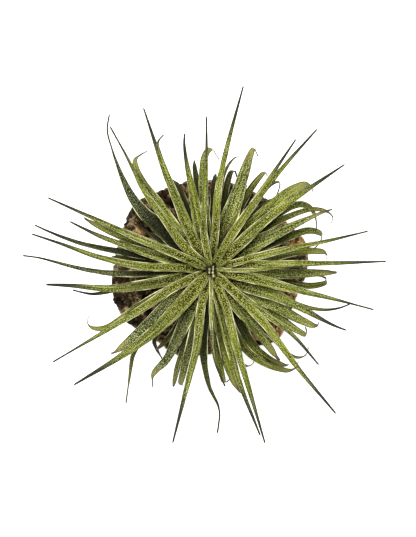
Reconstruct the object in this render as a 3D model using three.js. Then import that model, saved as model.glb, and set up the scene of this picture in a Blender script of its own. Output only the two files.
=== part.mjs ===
// An air plant growing on a rounded piece of cork bark.
// Millimetres, +Z up. The origin is on the bark's flat underside, on the axis of the rosette, and +Y is
// the side of the plant that is at the top when it is looked at from above.
import * as THREE from "three";

// ---- Driving dimensions ------------------------------------------------------------------------------

const BARK_HEIGHT = 26; // underside to the flat seat on top
const BARK_SEAT_RADIUS = 13; // the flat seat that the roots hold on to
const BARK_SIDES = 40; // facets round the bark
const SEAT_GAP = 0.3; // between two pieces that rest on each other

const ROOT_PAD_RADIUS = 8.5; // the matted holdfast roots between stem and bark
const ROOT_PAD_HEIGHT = 2.4;

const STEM_RADIUS = 4.6; // at its foot
const STEM_TIP_RADIUS = 1.6;
const STEM_HEIGHT = 21;
const BUD_RADIUS = 1.9; // the rolled young leaves at the heart of the rosette
const BUD_HEIGHT = 17;

const LEAF_THICKNESS = 0.6; // at the sheath, in the middle of the blade
const LEAF_TIP_THICKNESS = 0.3;
const LEAF_TAPER = 0.8; // power by which a blade narrows to its tip: 1 is a straight taper
const SHEATH_HALF_ANGLE = 28; // how far round the stem a leaf's base reaches on each side, in degrees
const LAYER = 1.15; // rise from one sheath to the next one lying on it
const LEAF_RINGS = 10; // cross-sections of a plain leaf
const CURLED_LEAF_RINGS = 15; // cross-sections of a leaf with a hooked end
const HOOK_DROP = 3; // a leaf that drops further than this below its sheet has a hooked end

const STEM_FOOT = BARK_HEIGHT + SEAT_GAP + ROOT_PAD_HEIGHT + SEAT_GAP;

const degrees = THREE.MathUtils.degToRad;
const polar = (azimuth, radius) =>
  new THREE.Vector2(radius * Math.cos(degrees(azimuth)), radius * Math.sin(degrees(azimuth)));

// ---- Leaves, from the lowest sheath to the highest ---------------------------------------------------
// Each row: name, level on the stem (0 lowest, 10 highest), widest width of the blade in mm, and the plan
// of its midrib as [azimuth in degrees, distance from the axis in mm, drop in mm]. The drop says how far
// that point hangs below the sheet that the leaf's level lies on, and is 0 where it is left out.

const LEAVES = [
  ["low_north_east", 1, 4.6, [[79, 14], [79.5, 28, 1], [78.5, 36, 3], [76.5, 37, 6], [74.5, 35, 10]]],
  ["low_south", 1, 4.4, [[263, 14], [265, 30.5, 1], [269, 42, 4], [273.4, 51, 7], [272.2, 60, 9]]],
  ["low_west", 1, 4.6, [[166, 14], [168.6, 34], [168.4, 48], [167, 58.5, 1], [165.6, 67, 3]]],
  ["low_south_west", 1.5, 4.0, [[221, 14], [224, 30, 1], [227, 41, 4], [231.8, 47.5, 7], [237.6, 58, 11]]],
  ["low_south_east", 1.5, 6.2,
    [[303, 14], [297, 25], [298.6, 33, 1], [303, 39.5, 3], [308, 44, 6], [310, 44.5, 10]]],
  ["low_north_west", 2, 7.0, [[144, 14], [140, 23], [139, 34.4], [133, 48], [125.7, 65], [122.9, 68, 1]]],
  ["low_east", 2, 4.4,
    [[350, 14], [350.4, 30, 1], [351.1, 37, 3], [354, 42, 5], [356.5, 41, 9], [356.7, 37, 11]]],
  ["under_south_east", 2, 4.8,
    [[290, 14], [291.8, 28, 1], [297, 36, 3], [304, 43, 4], [309.5, 47, 7], [314, 46, 10]]],
  ["hook_east", 2.5, 4.8, [[25, 14], [23.5, 27], [22, 38], [18, 42, 3], [14, 40.5, 8], [11.5, 38, 11]]],
  ["grey_west", 3, 5.2, [[182, 14], [182.7, 29], [181, 40], [178.6, 50], [176, 62], [175.6, 69, 1]]],
  ["curved_south_east", 3, 4.2,
    [[335, 14], [338, 28, 1], [339, 38], [340.7, 43.5], [343.5, 48.4, 1], [346.3, 52, 3]]],
  ["hook_north_east", 3, 4.8, [[66, 14], [65, 26], [63.3, 35, 1], [61, 40.5, 4], [59, 39.5, 8]]],
  ["under_east", 3.5, 5.4, [[11, 14], [12, 30, 1], [11, 36, 2], [8.5, 42, 4], [5, 42, 8]]],
  ["arch_north_east", 3.5, 5.6,
    [[47, 14], [41, 30], [36.5, 40], [31, 42.5, 1], [25.5, 42, 3], [21.3, 41, 6]]],
  ["hook_south", 4, 4.8, [[273, 14], [274.5, 30], [276.2, 39, 1], [277, 41, 5], [280, 40, 9]]],
  ["dark_north_east", 4, 4.2,
    [[41, 14], [36, 30, 1], [31.3, 42.2, 1], [27.3, 46.5, 2], [23.8, 48, 4], [21, 46.5, 7]]],
  ["blunt_south_west", 4, 4.4, [[252.5, 14], [254, 26], [254.8, 39], [255, 42.5, 4], [256, 43, 9]]],
  ["hook_west", 4.5, 4.8, [[205, 14], [207, 30, 1], [208.5, 44, 2], [204, 48.8, 4], [200, 46.5, 7]]],
  ["dark_south", 5, 5.8, [[280, 14], [279, 24], [280, 35], [282.3, 43, 2], [284, 46, 6]]],
  ["hooked_south_west", 5, 6.2, [[242, 14], [243.5, 26], [243.5, 36, 1], [241, 43, 3], [243.9, 47.5, 7]]],
  ["pale_west", 5, 7.0, [[194, 14], [192.5, 25], [190.5, 37], [186.5, 50], [185, 60, 1]]],
  ["blunt_west", 5.5, 5.0, [[162, 14], [160.5, 27], [159, 41], [158, 48, 1], [157.5, 49.5, 5]]],
  ["hook_south_east", 5.5, 5.2, [[324, 14], [325, 27], [325, 38], [326, 41.6, 3], [329, 39.6, 7]]],
  ["blunt_east", 5.5, 5.8, [[354, 14], [357, 27], [358.5, 39], [358.8, 44.3, 2], [359, 45.4, 6]]],
  ["broad_south_west", 6, 6.6, [[219.5, 14], [220.8, 27], [221, 40], [220.5, 45.6, 2], [219.5, 47, 6]]],
  ["tailed_west", 6, 5.8, [[166, 14], [164.4, 27], [163, 42], [161, 54, 1]]],
  ["hooked_north_west", 6, 5.2, [[131, 14], [128, 30], [127.3, 42], [124.5, 48, 2], [117.8, 48.5, 6]]],
  ["hooked_north", 6, 5.4, [[96.5, 14], [95.5, 30], [93, 41], [90, 43.5, 3], [85.5, 39.5, 8]]],
  ["blunt_south_east", 6, 6.4, [[306, 14], [307, 26], [307, 38, 1], [307.2, 41, 5]]],
  ["broad_east", 6.5, 7.6, [[32, 14], [29.9, 24], [28.3, 36], [27.2, 46], [26.5, 49, 3]]],
  ["pale_north_east", 6.5, 5.6, [[49, 14], [46.8, 28], [44.8, 40], [41.4, 46.5, 1], [37, 46, 5]]],
  ["pale_south_east", 6.5, 6.6, [[329.5, 14], [330.6, 27], [331, 38], [332, 43, 2], [334.5, 43, 6]]],
  ["broad_north", 6.5, 7.8, [[72.5, 14], [71, 24], [71.2, 39], [70.8, 46, 1], [67.4, 44, 7]]],
  ["tapered_south_east", 7, 6.0, [[336, 14], [338.3, 24], [337, 36], [335.7, 47], [336, 53.5]]],
  ["pale_north", 7, 5.6, [[105, 14], [103.5, 27], [102.8, 40], [101.8, 47], [100.9, 50, 2]]],
  ["straight_north_east", 7, 5.0, [[58.5, 14], [57.8, 30], [57.3, 43], [57, 56]]],
  ["long_east", 7.5, 5.0, [[7.5, 14], [4.6, 28], [3.2, 45], [2.8, 63]]],
  ["bright_west", 7.5, 5.2, [[176, 14], [176.9, 25], [173.6, 40], [170, 55], [168.6, 66]]],
  ["slender_east", 8, 4.6, [[16.6, 14], [15.5, 27], [14.1, 42], [13.9, 58]]],
  ["bright_south_east", 8, 5.0, [[318, 14], [321.4, 26], [321.4, 38], [318.6, 51.5]]],
  ["slender_south_west", 8, 4.8, [[204.8, 14], [208.6, 25], [209.9, 39], [210.2, 66]]],
  ["bright_south", 8, 5.6, [[283.8, 14], [283.5, 26], [284.3, 42], [286.6, 62]]],
  ["long_north_west", 8.5, 5.4, [[119.5, 14], [116.2, 27], [114.6, 42], [112.6, 63]]],
  ["long_south", 8.5, 5.6, [[255, 14], [259.3, 27], [258.3, 42], [257.5, 63.5]]],
  ["long_south_west", 8.5, 6.6, [[229.3, 14], [227.6, 28], [224.4, 42], [219.9, 64]]],
  ["long_north", 8.5, 5.0, [[83.6, 14], [85, 28], [82.8, 43], [80, 67]]],
  ["straight_east", 8.5, 5.0, [[349, 14], [347.2, 27], [346.8, 42], [346.3, 60]]],
  ["bright_north_west", 9, 5.4, [[138, 14], [132.6, 24.5], [130.4, 37], [127, 48.5], [125.1, 63]]],
  ["straight_south", 9, 5.4, [[292.5, 14], [288.6, 26], [287.8, 43], [287.3, 65]]],
  ["bright_north_east", 9, 5.4, [[42.3, 14], [42.5, 26], [40.5, 40], [38.3, 61]]],
  ["long_north_east", 9, 5.2, [[59.5, 14], [57.2, 29], [55, 45], [53, 63]]],
  ["long_south_east", 9, 5.6, [[316.6, 14], [314.8, 28], [311.6, 46], [311, 68]]],
  ["long_west", 9.5, 5.2, [[155.4, 14], [156.4, 30], [156.2, 45], [156.1, 64]]],
  ["slim_north", 9.5, 4.4, [[101, 14], [95, 26], [92.3, 41], [91.7, 55]]],
  ["narrow_east", 9, 2.4, [[359.5, 14], [1.5, 23], [2, 33]]],
  ["narrow_south", 9, 2.4, [[270.5, 14], [270.5, 22], [272, 32], [277, 42]]],
];

// ---- The sheets that the leaves lie on ---------------------------------------------------------------
// A leaf of level 0 lies on the lowest sheet, which leaves the stem nearly flat and droops past the bark,
// and one of level 10 on the highest, a steep funnel. The sheets between them never cross.

const TOP_LEVEL = 10;
const LOWEST_SHEET = { foot: 1.5, slope: 0.3, sag: 0.009 };
const HIGHEST_SHEET = { foot: 16, slope: 0.5, sag: 0.0025, flare: 8, flareRadius: 12 };

function lowestSheet(radius) {
  const out = radius - STEM_RADIUS;
  return LOWEST_SHEET.foot + LOWEST_SHEET.slope * out - LOWEST_SHEET.sag * out * out;
}

function highestSheet(radius) {
  const { foot, slope, sag, flare, flareRadius } = HIGHEST_SHEET;
  return foot + slope * radius - sag * radius * radius + flare * (1 - Math.exp(-radius / flareRadius));
}

function sheetHeight(level, radius) {
  return STEM_FOOT + THREE.MathUtils.lerp(lowestSheet(radius), highestSheet(radius), level / TOP_LEVEL);
}

function stemRadius(height) {
  return THREE.MathUtils.mapLinear(height, STEM_FOOT, STEM_FOOT + STEM_HEIGHT, STEM_RADIUS, STEM_TIP_RADIUS);
}

// Where the sheet of this level meets the stem, as a distance from the axis.
function seatRadius(level) {
  const clearance = SEAT_GAP + 0.3 * LEAF_THICKNESS;
  let radius = STEM_RADIUS;
  for (let pass = 0; pass < 8; pass++) {
    radius = stemRadius(sheetHeight(level, radius)) + clearance;
  }
  return radius;
}

// The smallest rise in level from one leaf to another whose base lies this many degrees away.
function riseInLevels(angleBetween) {
  const reach = 2 * SHEATH_HALF_ANGLE;
  if (angleBetween >= reach) return 0;
  const sheetSpread = highestSheet(STEM_RADIUS) - lowestSheet(STEM_RADIUS);
  return (TOP_LEVEL * LAYER * Math.sqrt(1 - angleBetween / reach)) / sheetSpread;
}

function angleBetween(a, b) {
  const turn = Math.abs(a - b) % 360;
  return Math.min(turn, 360 - turn);
}

// Lays the leaves round the stem from the lowest up: each takes its own level, or sits higher where a
// sheath that it overlaps is in its way.
function stackLeaves(rows) {
  const placed = [];
  for (const [name, ownLevel, width, plan] of rows) {
    const azimuth = plan[0][0];
    let level = ownLevel;
    for (const below of placed) {
      const rise = riseInLevels(angleBetween(azimuth, below.azimuth));
      if (rise > 0) level = Math.max(level, below.level + rise);
    }
    placed.push({ name, azimuth, level, width, plan });
  }
  return placed;
}

// ---- One leaf -----------------------------------------------------------------------------------------

// The midrib: a smooth plan curve from the stem to the tip, laid on the leaf's sheet.
function leafMidrib(leaf) {
  const start = polar(leaf.azimuth, seatRadius(leaf.level));
  const stations = [new THREE.Vector3(start.x, start.y, 0)];
  for (const [azimuth, radius, drop = 0] of leaf.plan) {
    const point = polar(azimuth, radius);
    stations.push(new THREE.Vector3(point.x, point.y, drop));
  }
  const planAndDrop = new THREE.CatmullRomCurve3(stations, false, "centripetal");
  const rings = leaf.plan.some(([, , drop = 0]) => drop > HOOK_DROP) ? CURLED_LEAF_RINGS : LEAF_RINGS;
  return planAndDrop.getSpacedPoints(rings).map(({ x, y, z: drop }) => {
    return new THREE.Vector3(x, y, sheetHeight(leaf.level, Math.hypot(x, y)) - drop);
  });
}

// A blade along its midrib: lens-shaped sections, wrapped round the stem at the base, to a pointed tip.
function leafGeometry(leaf) {
  const midrib = leafMidrib(leaf);
  const last = midrib.length - 1;
  const vertices = [];
  const across = new THREE.Vector3();
  for (let ring = 0; ring < last; ring++) {
    const centre = midrib[ring];
    const along = new THREE.Vector3()
      .subVectors(midrib[ring + 1], midrib[Math.max(ring - 1, 0)])
      .normalize();
    if (ring === 0) across.set(-centre.y, centre.x, 0).normalize();
    else across.addScaledVector(along, -across.dot(along)).normalize();
    const normal = new THREE.Vector3().crossVectors(along, across).normalize();
    const outward = new THREE.Vector3(centre.x, centre.y, 0).normalize();
    const radius = Math.hypot(centre.x, centre.y);
    const share = ring / last;
    const tapered = (leaf.width / 2) * Math.pow(1 - share, LEAF_TAPER);
    const half = Math.min(tapered, radius * Math.sin(degrees(SHEATH_HALF_ANGLE)));
    const wrap = (half * half) / (2 * radius);
    const thickness = THREE.MathUtils.lerp(LEAF_THICKNESS, LEAF_TIP_THICKNESS, share);
    vertices.push(
      centre.clone().addScaledVector(across, -half).addScaledVector(outward, -wrap),
      centre.clone().addScaledVector(normal, -thickness / 2),
      centre.clone().addScaledVector(across, half).addScaledVector(outward, -wrap),
      centre.clone().addScaledVector(normal, thickness / 2),
    );
  }
  vertices.push(midrib[last]);

  const tip = vertices.length - 1;
  const triangles = [0, 3, 1, 1, 3, 2];
  for (let ring = 0; ring < last; ring++) {
    for (let side = 0; side < 4; side++) {
      const a = ring * 4 + side;
      const b = ring * 4 + ((side + 1) % 4);
      if (ring === last - 1) triangles.push(a, b, tip);
      else triangles.push(a, b, a + 4, b, b + 4, a + 4);
    }
  }
  return closedGeometry(vertices, triangles);
}

function closedGeometry(vertices, triangles) {
  const geometry = new THREE.BufferGeometry();
  geometry.setAttribute(
    "position",
    new THREE.Float32BufferAttribute(vertices.flatMap((v) => [v.x, v.y, v.z]), 3),
  );
  geometry.setIndex(triangles);
  geometry.computeVertexNormals();
  return geometry;
}

// ---- The bark -----------------------------------------------------------------------------------------

// The bark's widest outline from above, as [azimuth, distance from the axis].
const BARK_OUTLINE = [
  [0, 34], [18, 35.5], [32, 32], [52, 32], [72, 32.2], [92, 32], [110, 33], [126, 35], [146, 35.5],
  [165, 35], [195, 36.6], [214, 35], [232, 32], [250, 32.4], [268, 30.4], [292, 29.6], [316, 34.8],
  [340, 32],
];

// Levels up the side and over the shoulder, as [height, share of the widest outline].
const BARK_LEVELS = [[0, 0.84], [3, 0.93], [10, 1], [17, 0.98], [22, 0.88], [24.6, 0.72]];

// Broad plates stand out from the bark's side by a millimetre or so, as a share of its outline.
function barkPlates(turn, height) {
  return 1 + 0.018 * Math.sin(7 * turn + height / 9) + 0.012 * Math.sin(11 * turn - height / 6);
}

function barkGeometry() {
  const outline = new THREE.CatmullRomCurve3(
    BARK_OUTLINE.map(([azimuth, radius]) => {
      const point = polar(azimuth, radius);
      return new THREE.Vector3(point.x, point.y, 0);
    }),
    true,
  );
  const vertices = [];
  for (const [height, share] of BARK_LEVELS) {
    for (let side = 0; side < BARK_SIDES; side++) {
      const point = outline.getPoint(side / BARK_SIDES).multiplyScalar(share);
      const plates = barkPlates((2 * Math.PI * side) / BARK_SIDES, height);
      vertices.push(new THREE.Vector3(point.x * plates, point.y * plates, height));
    }
  }
  for (let side = 0; side < BARK_SIDES; side++) {
    const seat = polar((360 * side) / BARK_SIDES, BARK_SEAT_RADIUS);
    vertices.push(new THREE.Vector3(seat.x, seat.y, BARK_HEIGHT));
  }
  vertices.push(new THREE.Vector3(0, 0, 0), new THREE.Vector3(0, 0, BARK_HEIGHT));

  const [under, top] = [vertices.length - 2, vertices.length - 1];
  const seatRow = BARK_LEVELS.length * BARK_SIDES;
  const triangles = [];
  for (let side = 0; side < BARK_SIDES; side++) {
    const next = (side + 1) % BARK_SIDES;
    triangles.push(under, next, side, top, seatRow + side, seatRow + next);
    for (let row = 0; row < seatRow; row += BARK_SIDES) {
      const [a, b] = [row + side, row + next];
      triangles.push(a, b, a + BARK_SIDES, b, b + BARK_SIDES, a + BARK_SIDES);
    }
  }
  return closedGeometry(vertices, triangles);
}

// ---- Roots, stem and heart ----------------------------------------------------------------------------

function lathe(profile, sides) {
  return new THREE.LatheGeometry(profile.map(([radius, height]) => new THREE.Vector2(radius, height)), sides)
    .rotateX(Math.PI / 2);
}

function rootPadGeometry() {
  const foot = BARK_HEIGHT + SEAT_GAP;
  return lathe([
    [0, foot],
    [ROOT_PAD_RADIUS, foot],
    [ROOT_PAD_RADIUS - 1, foot + 0.5 * ROOT_PAD_HEIGHT],
    [STEM_RADIUS + 0.6, foot + ROOT_PAD_HEIGHT],
    [0, foot + ROOT_PAD_HEIGHT],
  ], 20);
}

function stemGeometry() {
  return lathe([
    [0, STEM_FOOT],
    [STEM_RADIUS, STEM_FOOT],
    [STEM_TIP_RADIUS, STEM_FOOT + STEM_HEIGHT],
    [0, STEM_FOOT + STEM_HEIGHT],
  ], 20);
}

function budGeometry() {
  const foot = STEM_FOOT + STEM_HEIGHT + SEAT_GAP;
  return lathe([
    [0, foot],
    [STEM_TIP_RADIUS, foot],
    [BUD_RADIUS, foot + 0.25 * BUD_HEIGHT],
    [0.75 * BUD_RADIUS, foot + 0.6 * BUD_HEIGHT],
    [0.25 * BUD_RADIUS, foot + 0.92 * BUD_HEIGHT],
    [0, foot + BUD_HEIGHT],
  ], 12);
}

// ---- The plant ----------------------------------------------------------------------------------------

const corkBark = new THREE.MeshStandardMaterial({ color: 0x5a4326, roughness: 0.95, metalness: 0 });
const rootFibre = new THREE.MeshStandardMaterial({ color: 0x4a3a26, roughness: 0.9, metalness: 0 });
const stemTissue = new THREE.MeshStandardMaterial({ color: 0x8a7d4a, roughness: 0.8, metalness: 0 });
const leafBlade = new THREE.MeshStandardMaterial({ color: 0x8a9440, roughness: 0.65, metalness: 0 });

function named(name, geometry, material) {
  const mesh = new THREE.Mesh(geometry, material);
  mesh.name = name;
  return mesh;
}

const plant = new THREE.Group();
plant.add(
  named("cork_bark", barkGeometry(), corkBark),
  named("holdfast_roots", rootPadGeometry(), rootFibre),
  named("stem", stemGeometry(), stemTissue),
  named("heart_bud", budGeometry(), leafBlade),
);
for (const leaf of stackLeaves(LEAVES)) {
  plant.add(named(`leaf_${leaf.name}`, leafGeometry(leaf), leafBlade));
}

export default plant;
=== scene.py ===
"""An air plant on a rounded piece of cork bark, seen from straight above.

Every leaf is lofted again from its CAD blade, with a channelled section, pale margins and a scaly surface.
The bark, the roots and the young leaves at the heart get fine geometry of their own. +Z is up. Places are
worked out in millimetres and handed to Blender in metres."""

import math
import random

import bpy
import numpy as np
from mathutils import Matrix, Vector, noise
from mathutils.bvhtree import BVHTree


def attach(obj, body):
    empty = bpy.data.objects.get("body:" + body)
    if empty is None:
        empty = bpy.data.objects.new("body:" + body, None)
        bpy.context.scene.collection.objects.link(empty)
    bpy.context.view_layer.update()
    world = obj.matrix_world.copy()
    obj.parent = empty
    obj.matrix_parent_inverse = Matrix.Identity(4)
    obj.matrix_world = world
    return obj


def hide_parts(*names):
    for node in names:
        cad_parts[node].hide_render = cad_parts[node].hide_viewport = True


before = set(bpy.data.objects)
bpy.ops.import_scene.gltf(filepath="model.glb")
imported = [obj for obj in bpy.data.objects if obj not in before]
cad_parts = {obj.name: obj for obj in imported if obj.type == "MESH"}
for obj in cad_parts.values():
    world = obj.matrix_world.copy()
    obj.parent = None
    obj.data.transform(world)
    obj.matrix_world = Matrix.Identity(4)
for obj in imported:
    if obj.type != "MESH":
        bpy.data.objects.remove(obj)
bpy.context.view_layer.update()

MM = 0.001
BODY = "root"

# ---- Driving dimensions, in millimetres ---------------------------------------------------------------

STEM_FOOT = 29.0  # height of the stem's foot, on the roots
STEM_RADIUS = 4.6
ROOT_PAD_TOP = 28.7
BARK_TOP = 26.0
BARK_GRAIN = 0.5  # size of the bark's mesh
BUD_FOOT = 50.3  # where the young leaves stand on the stem's top

SHEATH_HALF_ANGLE = math.radians(29)  # how far round the stem a leaf's base reaches on each side
BLADE_THICKNESS = 0.5
CHANNEL = 0.4  # how far a blade's margins rise above its midrib, as a share of its half width
TWIST = 0.45  # the most that a blade rolls about its midrib, in radians
WAVER = 0.06  # the most that a blade's width varies along it, as a share of the width
HAIR = 0.33  # half width of the thinnest tip
MARGIN = 0.14  # width of a leaf's pale margin

SECTION_POINTS = 16  # round a blade
STEPS_PER_RING = 7  # stations between two cross-sections of the CAD blade
PATTERN_STEP = np.array([97.3, 31.7, 0.0])  # takes each leaf on to its own stretch of the scales' pattern

# ---- Camera, floor and light, in metres ---------------------------------------------------------------

IMAGE_WIDTH, IMAGE_HEIGHT = 416, 537
MM_PER_PIXEL = 0.36
HEART_PIXEL = (211.0, 270.0)  # where the rosette's axis is in the photograph
LEAF_LEVEL = 0.050  # a pixel is MM_PER_PIXEL wide at this height, and the lamps point at it
CAMERA_HEIGHT = 2.2
SENSOR = 36.0  # in millimetres, as the lens is

# Each lamp: its name, its place, how wide it is, its power in watts and its colour.
LAMPS = (
    ("key", (-0.06, 0.17, 1.05), 0.32, 16.2, (1.0, 0.98, 0.93)),
    ("fill", (-0.5, -0.5, 0.9), 0.5, 1.0, (0.95, 0.98, 1.0)),
)
SKY_STRENGTH = 0.16
FLOOR_REACH = 3.0
FLOOR_GREY = 0.9
FLOOR_GLOW = 0.9  # keeps the floor white all round the plant


def add_camera():
    data = bpy.data.cameras.new("camera")
    camera = bpy.data.objects.new("camera", data)
    bpy.context.scene.collection.objects.link(camera)
    camera.location = (
        (IMAGE_WIDTH / 2 - HEART_PIXEL[0]) * MM_PER_PIXEL * MM,
        (HEART_PIXEL[1] - IMAGE_HEIGHT / 2) * MM_PER_PIXEL * MM,
        CAMERA_HEIGHT,
    )
    data.sensor_fit = "VERTICAL"
    data.sensor_height = SENSOR
    data.lens = SENSOR * (CAMERA_HEIGHT - LEAF_LEVEL) / (IMAGE_HEIGHT * MM_PER_PIXEL * MM)
    data.clip_start, data.clip_end = 0.01, 20.0
    bpy.context.scene.camera = camera


def add_lamp(name, place, size, watts, colour):
    data = bpy.data.lights.new(name, "AREA")
    data.shape, data.size, data.energy, data.color = "DISK", size, watts, colour
    lamp = bpy.data.objects.new(name, data)
    bpy.context.scene.collection.objects.link(lamp)
    lamp.location = place
    aim = Vector((0, 0, LEAF_LEVEL)) - lamp.location
    lamp.rotation_euler = aim.to_track_quat("-Z", "Y").to_euler()


def add_light():
    scene = bpy.context.scene
    scene.view_settings.view_transform = "Standard"
    scene.view_settings.look = "None"
    world = bpy.data.worlds.new("studio")
    scene.world = world
    world.use_nodes = True
    sky = world.node_tree.nodes["Background"]
    sky.inputs["Color"].default_value = (1.0, 1.0, 1.0, 1)
    sky.inputs["Strength"].default_value = SKY_STRENGTH
    for lamp in LAMPS:
        add_lamp(*lamp)


def add_floor():
    mesh = bpy.data.meshes.new("floor")
    reach = FLOOR_REACH
    corners = [(-reach, -reach, 0), (reach, -reach, 0), (reach, reach, 0), (-reach, reach, 0)]
    mesh.from_pydata(corners, [], [(0, 1, 2, 3)])
    floor = bpy.data.objects.new("floor", mesh)
    bpy.context.scene.collection.objects.link(floor)
    material = bpy.data.materials.new("floor")
    material.use_nodes = True
    shader = material.node_tree.nodes["Principled BSDF"]
    shader.inputs["Base Color"].default_value = (FLOOR_GREY, FLOOR_GREY, FLOOR_GREY, 1)
    shader.inputs["Roughness"].default_value = 0.9
    shader.inputs["Emission Color"].default_value = (1.0, 1.0, 1.0, 1)
    shader.inputs["Emission Strength"].default_value = FLOOR_GLOW
    mesh.materials.append(material)


# ---- A short way to write node trees ------------------------------------------------------------------


def srgb(r, g, b):
    """A colour as a picture shows it, 0 to 255, as linear light."""
    return tuple((v / 255 / 12.92) if v <= 10 else ((v / 255 + 0.055) / 1.055) ** 2.4 for v in (r, g, b))


class Shader:
    """One material's node tree. Most methods add a node and return its output."""

    def __init__(self, name, roughness, specular):
        self.material = bpy.data.materials.new(name)
        self.material.use_nodes = True
        self.tree = self.material.node_tree
        self.surface = self.tree.nodes["Principled BSDF"]
        self.surface.inputs["Roughness"].default_value = roughness
        self.surface.inputs["Specular IOR Level"].default_value = specular

    def put(self, socket, value):
        if isinstance(value, bpy.types.NodeSocket):
            self.tree.links.new(value, socket)
        elif isinstance(value, tuple):
            socket.default_value = (*value, 1.0)[: len(socket.default_value)]
        else:
            socket.default_value = value

    def node(self, kind, output, settings=None, **inputs):
        node = self.tree.nodes.new(kind)
        for key, value in (settings or {}).items():
            setattr(node, key, value)
        for key, value in inputs.items():
            self.put(node.inputs[key], value)
        return node.outputs[output]

    def attribute(self, name, output="Fac"):
        return self.node("ShaderNodeAttribute", output, {"attribute_name": name})

    def math(self, operation, a, b=0.0, c=0.0):
        node = self.tree.nodes.new("ShaderNodeMath")
        node.operation = operation
        for socket, value in zip(node.inputs, (a, b, c)):
            self.put(socket, value)
        return node.outputs[0]

    def times(self, *values):
        product = values[0]
        for value in values[1:]:
            product = self.math("MULTIPLY", product, value)
        return product

    def ramp(self, value, start, end, low=0.0, high=1.0):
        """A smooth run from low to high while value goes from start to end."""
        node = self.tree.nodes.new("ShaderNodeMapRange")
        node.interpolation_type = "SMOOTHSTEP"
        names = ("Value", "From Min", "From Max", "To Min", "To Max")
        for key, number in zip(names, (value, start, end, low, high)):
            self.put(node.inputs[key], number)
        return node.outputs[0]

    def mix(self, share, a, b, blend="MIX"):
        node = self.tree.nodes.new("ShaderNodeMix")
        node.data_type, node.blend_type = "RGBA", blend
        self.put(node.inputs[0], share)
        self.put(node.inputs[6], a)
        self.put(node.inputs[7], b)
        return node.outputs[2]

    def stretch(self, where, scale):
        return self.node("ShaderNodeMapping", 0, Vector=where, Scale=scale)

    def noise(self, where, scale, detail=3.0, roughness=0.55):
        return self.node(
            "ShaderNodeTexNoise", "Fac", Vector=where, Scale=scale, Detail=detail, Roughness=roughness
        )

    def cells(self, where, scale, output="Distance", flat=False):
        settings = {"voronoi_dimensions": "2D" if flat else "3D"}
        return self.node("ShaderNodeTexVoronoi", output, settings, Vector=where, Scale=scale)

    def place(self):
        return self.node("ShaderNodeTexCoord", "Object")

    def finish(self, colour, height, depth):
        """Sets the colour, and a bump from the height, 0 to 1, that is depth metres deep."""
        self.put(self.surface.inputs["Base Color"], colour)
        bump = self.node("ShaderNodeBump", "Normal", Height=height, Distance=depth, Strength=1.0)
        self.put(self.surface.inputs["Normal"], bump)
        return self.material


# ---- Materials ----------------------------------------------------------------------------------------


NERVE_PITCH = 8.0  # radians of the nerves' relief for each millimetre across a blade
SCALE_SIZE = 2.3  # cells of scales for each millimetre


class LeafShader(Shader):
    """The leaf's node tree. The blade's own attributes say where on it a point is: along (0 to 1), edge,
    millimetres from the margin, flat, millimetres along and across it, and covered (0 to 1) by other blades
    close above it, which sets the painted shade. tone, grey and hooked (0 to 1) are the same all over a
    leaf; a low tone is partly painted shade."""

    def __init__(self):
        super().__init__("leaf", roughness=0.6, specular=0.12)
        self.along = self.attribute("along")
        self.edge = self.attribute("edge_mm")
        self.tone = self.attribute("tone")
        self.grey = self.attribute("grey")
        self.hooked = self.attribute("hooked")
        self.covered = self.attribute("covered")
        self.flat = self.attribute("flat_mm", "Vector")
        self.sheath = self.ramp(self.along, 0.50, 0.08)


def leaf_tissue(s):
    """Green tissue, more vivid outwards and duller towards the sheath, where the scales lie denser."""
    low, high, vivid, dull = srgb(66, 64, 14), srgb(112, 117, 8), srgb(120, 130, 8), srgb(78, 80, 4)
    grey_low, grey_high = srgb(72, 79, 66), srgb(92, 104, 68)
    colour = s.mix(s.tone, low, high)
    colour = s.mix(s.grey, colour, s.mix(s.tone, grey_low, grey_high))
    outer = s.times(s.ramp(s.along, 0.15, 0.50), s.tone, s.math("SUBTRACT", 0.85, s.grey))
    colour = s.mix(outer, colour, vivid)
    return s.mix(s.times(s.sheath, 0.8), colour, dull)


def leaf_folds(s, colour):
    """Folds catch the light in long bright bands, with darker streaks and blotches between them."""
    lit, shaded, grey_shaded = srgb(146, 153, 8), srgb(54, 62, 4), srgb(44, 54, 34)
    fold = s.noise(s.stretch(s.flat, (0.015, 0.45, 1.0)), 1.0, 1.0)
    bright = s.times(s.ramp(fold, 0.50, 0.68, 0.0, 0.55), s.tone, s.math("SUBTRACT", 1.0, s.grey))
    colour = s.mix(bright, colour, lit)
    streak = s.noise(s.stretch(s.flat, (0.05, 1.1, 1.0)), 1.0, 2.0)
    blotch = s.noise(s.flat, 1.5, 3.0, 0.65)
    dark = s.math("MAXIMUM", s.ramp(streak, 0.52, 0.38, 0.0, 0.7), s.ramp(blotch, 0.52, 0.36, 0.0, 0.45))
    return s.mix(dark, colour, s.mix(s.grey, shaded, grey_shaded))


def leaf_nerves(s, colour):
    """Fine nerves, dark and light, run the whole length."""
    dark, light, sheath_light = srgb(52, 60, 4), srgb(202, 208, 118), srgb(182, 188, 72)
    nerve = s.noise(s.stretch(s.flat, (0.06, 1.6, 1.0)), 1.0, 2.0)
    colour = s.mix(s.ramp(nerve, 0.50, 0.36, 0.0, 0.85), colour, dark)
    lit = s.times(s.ramp(nerve, 0.52, 0.66, 0.0, 0.6), s.math("MULTIPLY_ADD", s.tone, 0.85, 0.15))
    return s.mix(lit, colour, s.mix(s.sheath, light, sheath_light))


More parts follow.
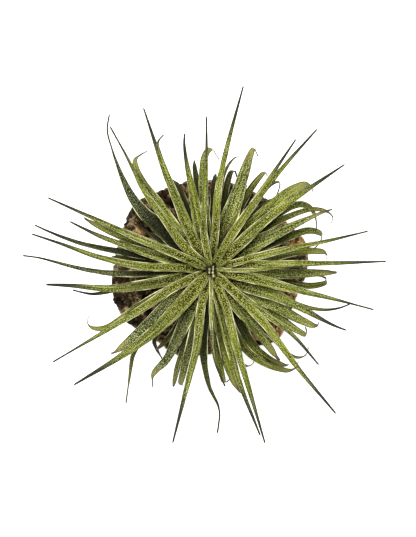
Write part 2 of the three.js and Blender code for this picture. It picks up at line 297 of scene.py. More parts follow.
def leaf_scales(s, colour):
    """Pale specks over darker pits, dense at the sheath and on grey leaves, and thin elsewhere. Returns the
    colour, and where the specks are."""
    pit, dim, grey_dim = srgb(24, 26, 2), srgb(104, 102, 40), srgb(112, 122, 96)
    pale, sheath_pale = srgb(244, 248, 184), srgb(236, 238, 130)
    where = s.stretch(s.flat, (0.7, 1.2, 1.0))
    grain = s.cells(where, SCALE_SIZE, flat=True)
    each = s.cells(where, SCALE_SIZE, "Color", flat=True)
    chance = s.node("ShaderNodeSeparateColor", 0, Color=each)
    scurf = s.ramp(s.noise(s.stretch(s.flat, (0.6, 1.0, 1.0)), 0.4, 2.0), 0.38, 0.62)
    rough = s.math("MAXIMUM", s.sheath, s.times(s.grey, 0.9))
    rough = s.math("MAXIMUM", rough, s.times(scurf, 0.45))
    pits = s.times(s.ramp(grain, 0.28, 0.48), s.math("MULTIPLY_ADD", rough, 0.64, 0.36))
    colour = s.mix(pits, colour, pit)
    specks = s.times(s.ramp(grain, 0.44, 0.18), s.ramp(chance, 0.25, 0.75))
    density = s.math("MULTIPLY_ADD", rough, 0.66, 0.32)
    scale = s.mix(s.tone, s.mix(s.grey, dim, grey_dim), s.mix(s.sheath, pale, sheath_pale))
    return s.mix(s.times(specks, density), colour, scale), specks


def leaf_shade(s, colour):
    """Painted shade: close under other leaves, and at its foot, the blade is darkened."""
    shade, dark_shade = srgb(88, 89, 62), srgb(12, 12, 6)
    # painted shade, as a dark tint, where other blades lie close above
    colour = s.mix(s.ramp(s.covered, 0.05, 0.55, 0.0, 0.92), colour, shade, "MULTIPLY")
    # painted shade, near black, right under other blades
    colour = s.mix(s.ramp(s.covered, 0.5, 1.0, 0.0, 0.85), colour, dark_shade)
    # painted shade at the blade's foot, deep in the rosette
    return s.mix(s.ramp(s.along, 0.035, 0.0, 0.0, 0.9), colour, dark_shade)


def leaf_end(s, colour):
    """Slender leaves end in a dark needle. Hooked ones are pale where they curl, and end in a grey hair."""
    low_needle, high_needle = srgb(48, 42, 16), srgb(36, 40, 42)
    curl, hair = srgb(148, 144, 84), srgb(84, 78, 64)
    needle = s.times(s.ramp(s.along, 0.66, 0.88, 0.0, 0.94), s.math("SUBTRACT", 1.0, s.hooked))
    colour = s.mix(needle, colour, s.mix(s.math("MAXIMUM", s.tone, s.grey), low_needle, high_needle))
    colour = s.mix(s.times(s.ramp(s.along, 0.72, 0.86, 0.0, 0.5), s.hooked), colour, curl)
    return s.mix(s.times(s.ramp(s.along, 0.86, 0.94, 0.0, 0.85), s.hooked), colour, hair)


def leaf_margin(s, colour):
    """The margin is a thin white line, here and there worn away, with a soft pale band and a shaded
    groove inside it."""
    pale, groove, white = srgb(172, 178, 96), srgb(44, 48, 16), srgb(242, 243, 192)
    band = s.times(s.ramp(s.edge, 1.0, 0.5, 0.0, 0.3), s.tone, s.ramp(s.along, 0.60, 0.35))
    colour = s.mix(band, colour, pale)
    colour = s.mix(s.ramp(s.edge, 0.50, 0.25, 0.0, 0.5), colour, groove)
    worn = s.noise(s.stretch(s.flat, (0.3, 1.2, 1.0)), 0.5, 3.0)
    ragged = s.math("MULTIPLY_ADD", worn, 1.1, MARGIN - 0.58)
    line = s.ramp(s.math("SUBTRACT", s.edge, ragged), 0.05, -0.05)
    line = s.times(line, s.ramp(s.along, 0.88, 0.35, 0.0, 0.95), s.ramp(s.along, 0.0, 0.22, 0.65, 1.0))
    return s.mix(line, colour, white)


def leaf_material():
    """Green tissue under pale scales, with a white margin."""
    s = LeafShader()
    colour = leaf_nerves(s, leaf_folds(s, leaf_tissue(s)))
    colour, specks = leaf_scales(s, colour)
    colour = leaf_margin(s, leaf_end(s, leaf_shade(s, colour)))
    across = s.node("ShaderNodeSeparateXYZ", 1, Vector=s.flat)
    relief = s.math("ADD", specks, s.times(s.math("SINE", s.times(across, NERVE_PITCH)), 0.25))
    return s.finish(colour, relief, 0.00016)


def outer_bark(s, place, height, fine):
    """Dark bark with lighter patches, deep pockets and ridges. Painted shade darkens the fissures, over the
    bark's own darker colour there, and the pockets; the ridge tops are paler, partly worn and partly a
    painted highlight.
    """
    fissure, plate, light = srgb(12, 7, 3), srgb(62, 48, 30), srgb(76, 56, 34)
    deep, worn, speck = srgb(14, 9, 4), srgb(188, 163, 122), srgb(18, 13, 8)
    patch = s.noise(place, 110.0, 4.0)
    pocket = s.noise(place, 190.0, 3.0, 0.6)
    # painted shade in the fissures, over the bark's own darker colour there
    colour = s.mix(s.ramp(height, 0.22, 0.62), fissure, plate)
    colour = s.mix(s.ramp(patch, 0.50, 0.66, 0.0, 0.8), colour, light)
    # painted shade: near-black pockets
    colour = s.mix(s.ramp(pocket, 0.46, 0.34, 0.0, 0.9), colour, deep)
    # ridge tops paler: partly worn bark, partly a painted highlight
    ridge = s.times(s.ramp(height, 0.52, 0.80), s.ramp(fine, 0.42, 0.58), s.ramp(pocket, 0.42, 0.56))
    colour = s.mix(s.times(ridge, 0.9), colour, worn)
    return s.mix(s.ramp(fine, 0.50, 0.32, 0.0, 0.85), colour, speck)


def broken_cork(s, place, height, grains):
    """Orange granular cork with brown patches, and painted shade in its hollows."""
    light, tan, orange = srgb(255, 238, 190), srgb(206, 150, 78), srgb(226, 156, 78)
    brown, hollow = srgb(84, 54, 30), srgb(60, 34, 16)
    colour = s.mix(s.ramp(grains, 0.15, 0.60), light, tan)
    colour = s.mix(s.ramp(s.noise(place, 300.0, 4.0), 0.46, 0.64, 0.0, 0.6), colour, orange)
    colour = s.mix(s.ramp(s.noise(place, 900.0, 3.0), 0.50, 0.38, 0.0, 0.9), colour, brown)
    # painted shade: dark brown in the hollows, where the height is low
    return s.mix(s.ramp(height, 0.35, 0.08), colour, hollow)


def bark_material():
    """Dark bark, and granular cork where it is broken open."""
    s = Shader("cork_bark", roughness=0.92, specular=0.12)
    place = s.place()
    height = s.attribute("height")  # 0 in a fissure, 1 on a ridge
    fine = s.noise(place, 1100.0, 5.0, 0.7)
    grains = s.cells(place, 1100.0)
    outer = outer_bark(s, place, height, fine)
    inner = broken_cork(s, place, height, grains)
    relief = s.math("ADD", s.times(fine, 0.9), s.times(grains, -0.6))
    return s.finish(s.mix(s.attribute("broken"), outer, inner), relief, 0.0008)


def root_material():
    """Thin brown bark, with a fine grain."""
    s = Shader("holdfast_roots", roughness=0.85, specular=0.2)
    dark, light = srgb(44, 32, 20), srgb(104, 80, 52)
    fine = s.noise(s.place(), 1400.0, 4.0)
    colour = s.mix(s.ramp(fine, 0.35, 0.65), dark, light)
    return s.finish(colour, fine, 0.0002)


def stem_material():
    """Old leaf scars ring the stem. Its very dark colours are partly its own and partly painted shade."""
    s = Shader("stem", roughness=0.8, specular=0.2)
    # very dark: partly the stem's own colour, partly painted shade
    dark, light = srgb(16, 15, 8), srgb(46, 42, 22)
    scars = s.noise(s.stretch(s.place(), (0.3, 0.3, 2.2)), 700.0, 4.0)
    colour = s.mix(s.ramp(scars, 0.35, 0.65), dark, light)
    return s.finish(colour, scars, 0.0004)


# ---- Meshes -------------------------------------------------------------------------------------------


def clamp(value, low=0.0, high=1.0):
    return max(low, min(high, value))


def smooth(value, start, end):
    t = clamp((value - start) / (end - start))
    return t * t * (3 - 2 * t)


def unit(vector):
    return vector / max(float(np.linalg.norm(vector)), 1e-9)


def from_axis(point):
    """A point's distance from the plant's axis."""
    return math.hypot(point[0], point[1])


def outward(point):
    """The level direction from the plant's axis to a point."""
    return unit(np.array([point[0], point[1], 0.0]))


def around(point):
    """The level direction round the plant's axis at a point."""
    return unit(np.array([-point[1], point[0], 0.0]))


def run_along(path):
    """How far each point of a path is from its start, along the path."""
    return np.concatenate([[0], np.cumsum(np.linalg.norm(np.diff(path, axis=0), axis=1))])


def joined(meshes):
    """All the meshes as one. Each is a list of vertices and a list of faces."""
    vertices, faces = [], []
    for more, more_faces in meshes:
        faces += [tuple(i + len(vertices) for i in face) for face in more_faces]
        vertices += more
    return vertices, faces


def surface_of(vertices, faces):
    """A mesh's surface, for rays to hit."""
    return BVHTree.FromPolygons([tuple(v) for v in vertices], faces)


def tube_faces(rings, sides):
    """The faces of a closed tube with that many rings of vertices."""
    end = (rings - 1) * sides
    faces = [tuple(range(sides))[::-1], tuple(end + m for m in range(sides))]
    for row in range(0, end, sides):
        for m in range(sides):
            a, b = row + m, row + (m + 1) % sides
            faces.append((a, b, b + sides, a + sides))
    return faces


def add_piece(name, vertices, faces, material, slot, replaced=None, attributes=None):
    """One smooth closed mesh as a piece of the object. vertices are in millimetres."""
    mesh = bpy.data.meshes.new(name)
    mesh.from_pydata((np.asarray(vertices) * MM).tolist(), [], faces)
    for key, values in (attributes or {}).items():
        values = np.asarray(values, dtype=np.float32)
        kind, part = ("FLOAT_VECTOR", "vector") if values.ndim == 2 else ("FLOAT", "value")
        mesh.attributes.new(key, kind, "POINT").data.foreach_set(part, values.ravel())
    mesh.shade_smooth()
    mesh.materials.append(material)
    piece = bpy.data.objects.new(name, mesh)
    bpy.context.scene.collection.objects.link(piece)
    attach(piece, BODY)
    if replaced:
        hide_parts(replaced)
    return piece


def node_shape(node):
    """A CAD node's corners in millimetres and its faces, with shared corners merged."""
    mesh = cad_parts[node].data
    points = np.array([v.co for v in mesh.vertices]) / MM
    corners, index = np.unique(np.round(points, 2), axis=0, return_inverse=True)
    index = index.reshape(-1)
    return corners, [tuple(int(index[i]) for i in p.vertices) for p in mesh.polygons]


def smooth_path(points, steps):
    """A Catmull-Rom curve through the points, with that many steps between two."""
    p = np.asarray(points, float)
    p = np.vstack([2 * p[0] - p[1], p, 2 * p[-1] - p[-2]])
    path = []
    for a, b, c, d in zip(p, p[1:], p[2:], p[3:]):
        for t in np.linspace(0, 1, steps, endpoint=False):
            bend = (2 * a - 5 * b + 4 * c - d) * t**2 + (3 * b - a - 3 * c + d) * t**3
            path.append(0.5 * (2 * b + (c - a) * t + bend))
    path.append(p[-2])
    return np.array(path)


# ---- Leaves -------------------------------------------------------------------------------------------


class Blade:
    """What a leaf is lofted from: its midrib, the direction across it at each point of the midrib, and its
    widest half width. hooked says that it ends blunt and curls into a thin tail, and taper how fast it
    narrows."""

    def __init__(self, midrib, across, half, hooked, taper=1.0):
        self.midrib, self.across, self.half, self.hooked, self.taper = midrib, across, half, hooked, taper


CAD_TAPER = 0.8  # a CAD blade's half width goes with (1 - share) to this power
RING_CORNERS = 4  # corners of a CAD blade's cross-section: two margins, the top and the bottom
CURLED_RINGS = 15  # a CAD blade with a hooked end has this many cross-sections, and a straight one fewer


def cad_rings(node):
    """The CAD blade's cross-sections from stem to tip, each as an array of its corners."""
    corners, faces = node_shape(node)
    beside = [set() for _ in corners]
    for face in faces:
        for i, j in zip(face, face[1:] + face[:1]):
            beside[i].add(j)
            beside[j].add(i)
    ring = set(np.argsort(np.hypot(corners[:, 0], corners[:, 1]))[:RING_CORNERS].tolist())
    seen, rings = set(), []
    while ring:
        seen |= ring
        rings.append(corners[sorted(ring)])
        ring = {j for i in ring for j in beside[i]} - seen
    return rings


def margins(ring, side):
    """Which two corners of a cross-section are its margins: the two furthest apart along side."""
    spread = [(abs(float((ring[i] - ring[j]) @ side)), i, j) for i in range(RING_CORNERS) for j in range(i)]
    return max(spread)[1:]


def blade_from_node(node):
    name = node.removeprefix("leaf_")
    rings = cad_rings(node)
    last = len(rings) - 1
    side = around(rings[0].mean(axis=0))
    midrib, across, halves = [], [], []
    for k, ring in enumerate(rings[:-1]):
        i, j = margins(ring, side)
        edge = ring[i] - ring[j]
        side = unit(edge if edge @ side > 0 else -edge)
        midrib.append(np.mean([ring[m] for m in range(RING_CORNERS) if m not in (i, j)], axis=0))
        across.append(side)
        halves.append(np.linalg.norm(edge) / 2 / (1 - k / last) ** CAD_TAPER)
    midrib.append(rings[-1][0])
    across.append(side)
    midrib[0] = midrib[0] - outward(midrib[0]) * REACH_IN.get(name, 0.0)
    wider, taper = OUTLINES.get(name, (1.0, 1.0))
    return Blade(midrib, across, max(halves) * wider, last == CURLED_RINGS, taper)


# A blade's width, as a share of its CAD width, at shares of its length.
POINTED = ((0.0, 0.58), (0.30, 0.58), (0.45, 0.51), (0.55, 0.44), (0.70, 0.33), (0.84, 0.22), (1.0, 0.11))
HOOKED = ((0.0, 0.68), (0.40, 0.68), (0.58, 0.58), (0.75, 0.49), (0.85, 0.38), (0.91, 0.20), (1.0, 0.12))


# Blades with an outline of their own: how wide they are for their CAD width, and how fast they taper, as a
# power of the share above.
OUTLINES = {
    "low_south": (1.0, 3.0), "low_north_west": (1.35, 2.6), "low_south_west": (1.0, 2.0),
    "low_south_east": (1.25, 1.2), "grey_west": (0.85, 1.1), "broad_north": (1.2, 1.9),
    "broad_south_west": (1.25, 1.5), "hooked_south_west": (1.1, 1.5), "slender_south_west": (1.15, 1.3),
    "broad_east": (1.35, 1.5), "bright_north_west": (1.0, 1.3), "arch_north_east": (1.0, 1.4),
    "dark_north_east": (1.0, 1.4), "pale_north_east": (1.3, 0.9), "bright_north_east": (1.32, 1.2),
    "tapered_south_east": (1.4, 1.3), "straight_east": (1.35, 1.5), "long_south_west": (1.3, 1.2),
    "long_north_west": (1.25, 1.2), "pale_north": (1.35, 1.2), "blunt_south_west": (1.0, 0.6),
}


# Top leaves whose foot reaches further in over the stem, and how far, in millimetres.
REACH_IN = {
    "slim_north": 1.0, "long_west": 0.7, "long_south_west": 0.8, "bright_north_east": 0.5,
    "long_south_east": 0.4, "straight_south": 0.6, "narrow_east": 0.5, "bright_north_west": 0.4,
}


def half_width(blade, share, radius):
    """Half a blade's width at this share of its length and this distance from the axis."""
    shares, widths = zip(*(HOOKED if blade.hooked else POINTED))
    fullest = widths[0]
    body = blade.half * fullest * (np.interp(share, shares, widths) / fullest) ** blade.taper
    sheath = radius * math.sin(SHEATH_HALF_ANGLE)
    # A soft minimum of the two, so that the outline has no corner where the sheath ends.
    return max((body**-4 + sheath**-4) ** -0.25, HAIR)


# The sheets that the lowest and the highest leaves lie on, with the same numbers as in the CAD model.
LOW_FOOT, LOW_SLOPE, LOW_SAG = 1.5, 0.3, 0.009
HIGH_FOOT, HIGH_SLOPE, HIGH_SAG, HIGH_FLARE, FLARE_RADIUS = 16, 0.5, 0.0025, 8, 12
TOP_LEVEL = 10


def sheet_height(level, radius):
    """The height of the sheet that leaves of this level lie on, at this distance from the axis."""
    out = radius - STEM_RADIUS
    low = LOW_FOOT + LOW_SLOPE * out - LOW_SAG * out * out
    flare = HIGH_FLARE * (1 - math.exp(-radius / FLARE_RADIUS))
    high = HIGH_FOOT + HIGH_SLOPE * radius - HIGH_SAG * radius**2 + flare
    return STEM_FOOT + low + (high - low) * level / TOP_LEVEL


WAVER_SEED = 50  # keeps a blade's width from varying in step with its roll


def wander(seed, place, scale):
    """A smooth number between about -1 and 1 that changes with place."""
    return noise.noise(Vector((seed * 7.31, place * scale, seed * 1.7)))


def sides_and_ups(blade, midrib, shares, seed):
    """The directions across and up at each station but the tip. The blade rolls about its midrib."""
    rings = np.arange(len(blade.midrib)) * STEPS_PER_RING
    stations = np.arange(len(midrib))
    across = np.column_stack([np.interp(stations, rings, [a[k] for a in blade.across]) for k in range(3)])
    pairs = []
    for k, share in enumerate(shares[:-1]):
        forward = unit(midrib[k + 1] - midrib[max(k - 1, 0)])
        side = unit(across[k] - forward * float(across[k] @ forward))
        up = np.cross(forward, side)
        roll = TWIST * wander(seed, share, 2.3) * smooth(share, 0.15, 0.6)
        cosine, sine = math.cos(roll), math.sin(roll)
        pairs.append((side * cosine + up * sine, up * cosine - side * sine))
    return pairs


def blade_faces(rings):
    """The faces of a blade: that many rings of vertices, then its tip and the middle of its foot."""
    n = SECTION_POINTS
    tip, foot = rings * n, rings * n + 1
    faces = []
    for m in range(n):
        after = (m + 1) % n
        for row in range(0, (rings - 1) * n, n):
            faces.append((row + m, row + m + n, row + after + n, row + after))
        faces.append(((rings - 1) * n + m, tip, (rings - 1) * n + after))
        faces.append((foot, m, after))
    return faces


def leaf_mesh(blade, seed):
    """A channelled blade with a fine tip. Returns its vertices, faces and attributes."""
    midrib = smooth_path(blade.midrib, STEPS_PER_RING)
    last = len(midrib) - 1
    run = run_along(midrib)
    shares = run / run[-1]
    shift = PATTERN_STEP * seed
    vertices, along, edge, flat = [], [], [], []
    for k, (side, up) in enumerate(sides_and_ups(blade, midrib, shares, seed)):
        share, radius = shares[k], from_axis(midrib[k])
        half = half_width(blade, share, radius) * (1 + WAVER * wander(seed + WAVER_SEED, share, 9.0))
        wrap = -outward(midrib[k]) * half * half / (2 * radius)  # the margins go round the stem
        thick = min(BLADE_THICKNESS * (1 - 0.5 * share), 1.2 * half)  # thinner towards the tip
        rise = CHANNEL * half * smooth(radius, 4.0, 15.0) * (1 - 0.5 * smooth(share, 0.5, 0.95))
        for m in range(SECTION_POINTS):
            turn = 2 * math.pi * m / SECTION_POINTS
            v = math.cos(turn)
            lift = 0.5 * thick * math.sin(turn) + rise * (abs(v) ** 1.2 - 0.4)
            vertices.append(midrib[k] + side * (half * v) + wrap * v * v + up * lift)
            along.append(share)
            edge.append(half * (1 - abs(v)))
            flat.append(shift + (run[k], half * v, 0.0))
    for end in (last, 0):
        vertices.append(midrib[end])
        along.append(shares[end])
        edge.append(blade.half * (1 - shares[end]))
        flat.append(shift + (run[end], 0.0, 0.0))
    return vertices, blade_faces(last), {"along": along, "edge_mm": edge, "flat_mm": flat}


COVER_REACH = 13.0  # how close above a point another blade paints shade on it
COVER_TILT = math.radians(40)
COVER_RAYS = 7  # one straight up, and the others tilted, all round it
COVER_START = 0.6  # the rays start this far from the point, clear of its own blade


def covered_share(surface, point):
    """How far a point is covered by blades close above it, from 0 in the open to 1 right under one: the
    mask of the leaves' painted shade. Deep between the leaves it is never 0, so shade is painted there too."""
    covered = 0.0
    for k in range(COVER_RAYS):
        tilt, turn = (COVER_TILT, 2 * math.pi / (COVER_RAYS - 1) * k) if k else (0.0, 0.0)
        flat = math.sin(tilt)
        upward = Vector((flat * math.cos(turn), flat * math.sin(turn), math.cos(tilt)))
        distance = surface.ray_cast(Vector(point) + upward * COVER_START, upward, COVER_REACH)[3]
        if distance is not None:
            covered += (1 - distance / COVER_REACH) / COVER_RAYS
    radius = from_axis(point)
    # painted shade deep under the top leaves, near the axis
    deep = smooth(sheet_height(9, radius) - point[2], 3.0, 14.0) * (1 - smooth(radius, 24.0, 42.0))
    return max(covered, 0.45 * deep)


def covered_shares(vertices, surface):
    """covered_share for a leaf's vertices, worked out at five points across its upper side."""
    n = SECTION_POINTS
    upper = range(0, n // 2 + 1, n // 8)
    places = [-math.cos(2 * math.pi * m / n) for m in upper]
    shares = []
    for row in range(0, len(vertices) - 2, n):
        found = [covered_share(surface, vertices[row + m]) for m in upper]
        shares += [float(np.interp(-math.cos(2 * math.pi * m / n), places, found)) for m in range(n)]
    return shares + [shares[-1], shares[0]]


# Leaves that are greyer than their neighbours, and how grey, from 0 green to 1.
GREY_LEAVES = {
    "low_north_west": 0.95, "grey_west": 0.8, "broad_south_west": 0.8, "hooked_south_west": 0.7,
    "low_west": 0.8, "low_south": 0.6, "broad_east": 0.45, "broad_north": 0.55, "blunt_south_west": 0.5,
    "blunt_north_east": 0.7, "under_south": 0.5, "pale_west": 0.3, "pale_south_east": 0.3,
    "blunt_south_east": 0.3, "blunt_east": 0.35, "tailed_west": 0.3,
}


# Low leaves that are as light as higher ones, and their tone, from 0 dark to 1 bright.
LIGHT_LEAVES = {
    "hook_east": 0.8, "under_east": 0.8, "hook_north_east": 0.8, "arch_north_east": 0.9,
    "dark_north_east": 0.8, "low_east": 0.5, "under_south_east": 0.7, "curved_south_east": 0.7,
    "low_south_west": 0.6, "low_south_east": 0.55,
}


# Leaves without a hook that end as pale as hooked ones.
PALE_ENDS = ("broad_east",)


# ---- Small leaves deep in the rosette -----------------------------------------------------------------

# Each row: name, level on the stem, widest width, and the plan of its midrib as azimuth in degrees,
# distance from the axis, and drop below the leaf's sheet.
DEEP_LEAVES = [
    ("deep_north", 0.6, 4.0, [(112, 14, 0), (110.8, 30, 1), (112, 34, 3), (113.5, 36, 7)]),
    ("deep_north_west", 0.3, 5.6, [(150, 12, 0), (150, 22, 1), (149, 30, 3)]),
    ("deep_west", 0.4, 3.8, [(172, 14, 0), (172, 31, 1), (173, 36, 4), (174, 37.5, 9)]),
    ("deep_south", 0.8, 2.6,
     [(287, 14, 0), (287, 25, 1), (288.6, 35.6, 3), (293, 37.5, 6), (296, 36.3, 9)]),
    ("deep_east", 0.5, 3.8, [(7.5, 14, 0), (7.5, 26, 1), (8, 35, 3)]),
    ("deep_north_east", 0.9, 3.6, [(68, 14, 0), (68, 28, 1), (67.5, 32, 4), (67, 33.5, 8)]),
    ("deep_south_west", 2.6, 3.6, [(240, 14, 0), (238, 28, 0), (236, 34, 2), (235, 35, 6)]),
    ("short_north", 0.9, 4.0, [(88, 14, 0), (88, 29, 1), (87.5, 34, 4), (87, 35, 9)]),
    ("tail_south_east", 3.2, 2.6,
     [(313, 14, 0), (312, 35, 1), (313.5, 42.7, 1), (317, 46, 3), (322, 45, 6)]),
    ("tail_north", 2.8, 2.4,
     [(84, 14, 0), (83, 30, 1), (81.2, 37.3, 2), (78, 41.5, 4), (75.1, 42.4, 7)]),
    ("loop_north_east", 4.0, 2.4,
     [(58, 14, 0), (57, 30, 1), (54, 39.2, 1), (51.1, 39.7, 4), (48.4, 35.5, 8)]),
    ("hook_south_west", 0.2, 3.4,
     [(226, 14, 0), (228, 25, 0), (231, 32.5, 1), (236, 35, 3), (243, 37.5, 6)]),
    ("low_north", 1.0, 4.4, [(97, 14, 0), (99, 28, 1), (99, 38, 4), (98.5, 40.5, 9)]),
    ("under_west", 2.0, 4.4, [(192, 14, 0), (191.8, 34, 0), (191.5, 43.5, 1), (188.1, 51, 3)]),
    ("under_south", 3.0, 4.2, [(249, 14, 0), (250.5, 27, 1), (251, 37, 3), (252, 43.5, 6), (252, 44.5, 11)]),
    ("under_north_west", 4.0, 4.4, [(117, 14, 0), (116, 30, 1), (113.5, 48, 2), (109, 52, 4)]),
    ("blunt_north_east", 4.5, 5.8, [(53, 14, 0), (51, 27, 0), (48.8, 33, 1), (48, 35, 5)]),
]
PLAN_RINGS = 12
PLAN_STEPS = 24  # between two points of a plan
DEEP_SEED = 100  # of the first of them
HOOK_DROP = 3.5  # a leaf that drops further than this below its sheet has a hooked end


def blade_from_plan(level, width, plan):
    """A blade from a row of DEEP_LEAVES. It starts at the stem."""
    stations = []
    for azimuth, radius, drop in [(plan[0][0], STEM_RADIUS, 0.0), *plan]:
        turn = math.radians(azimuth)
        stations.append((radius * math.cos(turn), radius * math.sin(turn), drop))
    fine = smooth_path(stations, PLAN_STEPS)
    run = run_along(fine)
    midrib = []
    for share in np.linspace(0, 1, PLAN_RINGS + 1):
        x, y, drop = (np.interp(share * run[-1], run, fine[:, k]) for k in range(3))
        midrib.append(np.array([x, y, sheet_height(level, math.hypot(x, y)) - drop]))
    side = around(midrib[0])
    across = [side]
    for before, after in zip(midrib, midrib[1:]):
        forward = unit(after - before)
        side = unit(side - forward * float(side @ forward))
        across.append(side)
    return Blade(midrib, across, width / 2, plan[-1][2] > HOOK_DROP)


# ---- All the leaves together --------------------------------------------------------------------------


def all_blades():
    """Every leaf: its name, its blade, its seed, and the CAD node that it replaces."""
    nodes = sorted(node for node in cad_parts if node.startswith("leaf_"))
    rows = []
    for seed, node in enumerate(nodes):
        rows.append((node.removeprefix("leaf_"), blade_from_node(node), seed, node))
    for seed, (name, level, width, plan) in enumerate(DEEP_LEAVES, start=DEEP_SEED):
        rows.append((name, blade_from_plan(level, width, plan), seed, None))
    return rows


def leaf_tone(name, blade):
    """How bright a leaf is, from 0 dark to 1: the higher it stands on the stem, the brighter it is. A low
    leaf's darkness is partly its own colour and partly painted shade.
    """
    foot = blade.midrib[0][2]
    tone = 0.08 + 0.92 * smooth(foot, STEM_FOOT + 2.0, STEM_FOOT + 15.0)
    return LIGHT_LEAVES.get(name, tone)


def leaf_grey(name, seed):
    """How grey a leaf is, from 0 green to 1. Most take turns at being a little greyer."""
    return GREY_LEAVES.get(name, 0.12 * (seed % 3))


def add_leaves(material):
    rows = all_blades()
    meshes = [leaf_mesh(blade, seed) for _, blade, seed, _ in rows]
    surface = surface_of(*joined((vertices, faces) for vertices, faces, _ in meshes))
    for (name, blade, seed, node), (vertices, faces, attributes) in zip(rows, meshes):
        tone = leaf_tone(name, blade)
        values = {"tone": tone, "grey": leaf_grey(name, seed)}
        values["hooked"] = smooth(tone, 0.1, 0.6) if blade.hooked or name in PALE_ENDS else 0.0
        for key, value in values.items():
            attributes[key] = [value] * len(vertices)
        attributes["covered"] = covered_shares(vertices, surface)
        add_piece("blade_" + name, vertices, faces, material, "leaf", node, attributes)


# ---- The young leaves at the heart --------------------------------------------------------------------

# Each stands upright. A row holds its place from above, its height above the stem's top, and its width.
YOUNG_LEAVES = [
    ((-0.60, 0.20), 11.5, 1.0),
    ((-0.60, -0.95), 9.5, 1.05),
    ((0.85, 1.15), 12.5, 0.85),
    ((0.80, 0.25), 14.5, 1.0),
    ((0.70, -1.05), 12.0, 1.1),
    ((0.90, -2.20), 10.5, 1.25),
]


YOUNG_SIDES = 10
YOUNG_RINGS = 20
YOUNG_DARK = 9.0  # their painted shade fades out up to this height above the stem's top
YOUNG_LOOK = {"along": 0.3, "tone": 0.6, "grey": 0.3, "hooked": 0.0}  # as in the middle of a greyish leaf


def young_leaf(place, height, width, seed):
    """A rolled leaf with a blunt pale tip, as a closed tube. Returns vertices, faces and attributes."""
    vertices, edge = [], []
    for k in range(YOUNG_RINGS):
        share = k / (YOUNG_RINGS - 1)
        pull = 0.7 + 0.3 * share  # the leaves stand closer together at their feet
        half = 0.5 * width * (1.08 - 0.05 * share) * math.sqrt(max(1 - smooth(share, 0.66, 1.04), 0.02))
        for m in range(YOUNG_SIDES):
            turn = 2 * math.pi * m / YOUNG_SIDES + 0.8 * share + seed
            out = half * (1 - 0.18 * math.cos(2 * turn))
            x = place[0] * pull + out * math.cos(turn)
            y = place[1] * pull + out * math.sin(turn)
            vertices.append(np.array([x, y, BUD_FOOT + height * share]))
            edge.append(0.5 - 0.9 * smooth(share, 0.76, 0.86))  # makes the tip as pale as a margin
    flat = [(v[2] + 13.7 * seed, v[0] + v[1], 0.0) for v in vertices]
    # painted shade, dark at their feet deep in the heart
    covered = [1 - smooth(v[2], BUD_FOOT, BUD_FOOT + YOUNG_DARK) for v in vertices]
    faces = tube_faces(YOUNG_RINGS, YOUNG_SIDES)
    return vertices, faces, {"edge_mm": edge, "flat_mm": flat, "covered": covered}


def add_heart(material):
    leaves = [young_leaf(*row, seed) for seed, row in enumerate(YOUNG_LEAVES)]
    vertices, faces = joined((more, more_faces) for more, more_faces, _ in leaves)
    attributes = {}
    for key in ("edge_mm", "flat_mm", "covered"):
        attributes[key] = [value for leaf in leaves for value in leaf[2][key]]
    for key, value in YOUNG_LOOK.items():
        attributes[key] = [value] * len(vertices)
    add_piece("heart_leaves", vertices, faces, material, "leaf", "heart_bud", attributes)


# ---- Bark and roots -----------------------------------------------------------------------------------

# Where the bark is broken open to granular cork: first and last azimuth in radians, and how freely.
BROKEN_SIDES = [
    (-0.42, -0.15, 0.6), (0.12, 0.72, 0.55), (2.56, 2.76, 0.48), (5.05, 5.80, 0.6),
]
BROKEN_FROM = 23.0  # distance from the axis
BARK_SEED = 2
MOST_RELIEF = 1.3  # how far the surface may stand out from the CAD lump
SEAT_DEPTH = 3.0  # under the plant, the CAD surface is kept down to this far below the bark's top
SEAT_EDGE = (10.0, 14.0)  # distances from the axis between which that seat runs out


def cell_ridge(q):
    """How near q is to the border between two cells of a pattern, 0 to 1, and its distance from the
    nearest cell's middle."""
    near, further = noise.voronoi(q)[0][:2]
    return (1 - clamp((further - near) * 2.4)) ** 2, near


def bark_relief(p):
    """How far the bark stands out at p, and how high that is from a fissure, 0, to a ridge, 1."""
    q = p + noise.noise_vector(p * 0.09) * 4.5 + noise.noise_vector(p * 0.3) * 1.6
    ridge, near = cell_ridge(q * 0.2)
    ridge_fine, _ = cell_ridge(q * 0.42)
    hollow = clamp(1 - near * 1.7) * smooth(noise.noise(q * 0.10 + Vector((0, 0, 7))), -0.25, 0.15)
    lump = noise.noise(p * 0.11)
    grain = noise.fractal(p * 0.75, 0.9, 2.0, 4)
    height = clamp(0.42 + 0.42 * ridge + 0.24 * ridge_fine - 0.55 * hollow + 0.25 * lump)
    return (height - 0.55) * 4.6 + 0.35 * grain, clamp(height + 0.12 * grain)


def broken_share(p):
    """How far the bark is broken open at p."""
    turn = math.atan2(p.y, p.x)
    ragged = p.z + 9.0 * noise.noise(p * 0.09 + Vector((3, 0, 0)))  # the break's lower edge is uneven
    outer = smooth(from_axis(p), BROKEN_FROM - 2, BROKEN_FROM + 2) * smooth(ragged, 5.0, 9.0)
    patch = noise.noise(p * 0.14) + 0.35 * noise.noise(p * 0.5)
    share = 0.0
    for first, last, ease in BROKEN_SIDES:
        for angle in (turn, turn + 2 * math.pi):
            inside = smooth(min(angle - first, last - angle), 0.0, 0.2)
            share = max(share, inside * smooth(patch + ease, 0.27, 0.44))
    return share * outer


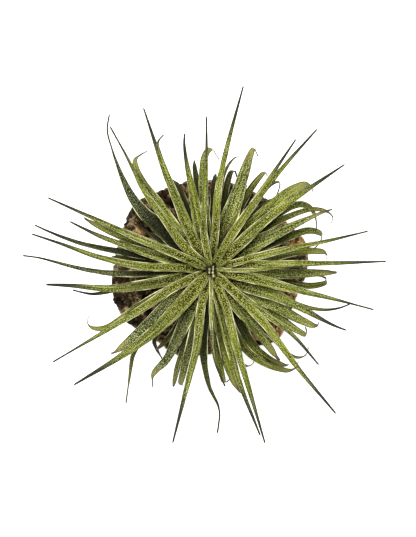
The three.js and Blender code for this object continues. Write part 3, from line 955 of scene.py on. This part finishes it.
def even_bark():
    """The CAD lump, rounded and meshed again at BARK_GRAIN: its points, each with its normal, and faces."""
    corners, faces = node_shape("cork_bark")
    mesh = bpy.data.meshes.new("bark_base")
    mesh.from_pydata(corners.tolist(), [], faces)
    base = bpy.data.objects.new("bark_base", mesh)
    bpy.context.scene.collection.objects.link(base)
    rounded = base.modifiers.new("rounded", "SUBSURF")
    rounded.levels = rounded.render_levels = 2
    even = base.modifiers.new("even", "REMESH")
    even.mode, even.voxel_size = "VOXEL", BARK_GRAIN
    shape = base.evaluated_get(bpy.context.evaluated_depsgraph_get()).to_mesh()
    places = [(v.co.copy(), v.normal.copy()) for v in shape.vertices]
    polygons = [tuple(p.vertices) for p in shape.polygons]
    bpy.data.objects.remove(base)
    return places, polygons


def bark_mesh():
    """The bark, worked into plates, ridges and pits. Returns its points, faces and attributes."""
    noise.seed_set(BARK_SEED)  # noise_vector would differ from run to run without it
    places, polygons = even_bark()
    points, height, broken = [], [], []
    for p, normal in places:
        out, ridge = bark_relief(p)
        opened = broken_share(p)
        out += opened * 0.5 * noise.noise(p * 1.3)
        seat = smooth(from_axis(p), *SEAT_EDGE) if p.z > BARK_TOP - SEAT_DEPTH else 1.0
        moved = p + normal * (min(out, MOST_RELIEF) * smooth(p.z, 0.0, 2.5) * seat)
        points.append((moved.x, moved.y, max(moved.z, 0.0)))
        height.append(ridge)
        broken.append(opened)
    return points, polygons, {"height": height, "broken": broken}


def tube(path, radii, sides=6):
    """A closed tube along a path."""
    vertices = []
    across = unit(np.cross(path[1] - path[0], (0.3, 0.2, 1.0)))
    for k, centre in enumerate(path):
        forward = unit(path[min(k + 1, len(path) - 1)] - path[max(k - 1, 0)])
        across = unit(across - forward * float(across @ forward))
        up = np.cross(forward, across)
        for m in range(sides):
            turn = 2 * math.pi * m / sides
            vertices.append(centre + (across * math.cos(turn) + up * math.sin(turn)) * radii[k])
    return vertices, tube_faces(len(path), sides)


ROOTS = 34
ROOT_SEED = 11
ROOT_STEPS = 12
ROOT_START = 3.2  # distance from the axis, under the stem
ROOT_REACH = (8.0, 16.0)  # how far from the axis the shortest and the longest root end
ROOT_RADIUS = (0.24, 0.42)  # of the thinnest and the thickest root
ROOT_TAPER = 0.75  # how much thinner a root is at its end, as a share
ABOVE_BARK = 60.0  # a height over all of it


def root_path(turn, reach, size, bend, surface):
    """A root's midline, from the stem's foot over the bark. bend picks the way it wanders."""
    path = []
    for share in np.linspace(0, 1, ROOT_STEPS + 1):
        radius = ROOT_START + (reach - ROOT_START) * share
        swing = turn + 0.5 * noise.noise(Vector((bend, share * 2.2, 0)))
        x, y = radius * math.cos(swing), radius * math.sin(swing)
        hit = surface.ray_cast(Vector((x, y, ABOVE_BARK)), Vector((0, 0, -1)))[0]
        ground = (hit.z if hit else BARK_TOP) + size * 0.6
        lift = (ROOT_PAD_TOP - 0.5 - ground) * clamp(1 - share * 2.6) ** 2
        path.append(np.array([x, y, ground + lift]))
    return smooth_path(path, 2)


def add_roots(bark_points, bark_faces, material):
    """Wiry roots that leave the stem's foot and run over the bark's top and down into its fissures."""
    surface = surface_of(bark_points, bark_faces)
    draw = random.Random(ROOT_SEED)
    tubes = []
    for k in range(ROOTS):
        turn = 2 * math.pi * (k + draw.uniform(-0.3, 0.3)) / ROOTS
        reach = draw.uniform(*ROOT_REACH)
        size = draw.uniform(*ROOT_RADIUS)
        path = root_path(turn, reach, size, k * 3.1, surface)
        radii = [size * (1 - ROOT_TAPER * i / (len(path) - 1)) for i in range(len(path))]
        tubes.append(tube(path, radii))
    add_piece("wiry_roots", *joined(tubes), material, "roots", "holdfast_roots")


# ---- The scene ----------------------------------------------------------------------------------------

add_camera()
add_light()
add_floor()
leaf_finish = leaf_material()
add_leaves(leaf_finish)
add_heart(leaf_finish)

bark_points, bark_faces, bark_attributes = bark_mesh()
add_piece("bark", bark_points, bark_faces, bark_material(), "cork", "cork_bark", bark_attributes)
add_roots(bark_points, bark_faces, root_material())

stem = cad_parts["stem"]
stem.data.materials.clear()
stem.data.materials.append(stem_material())
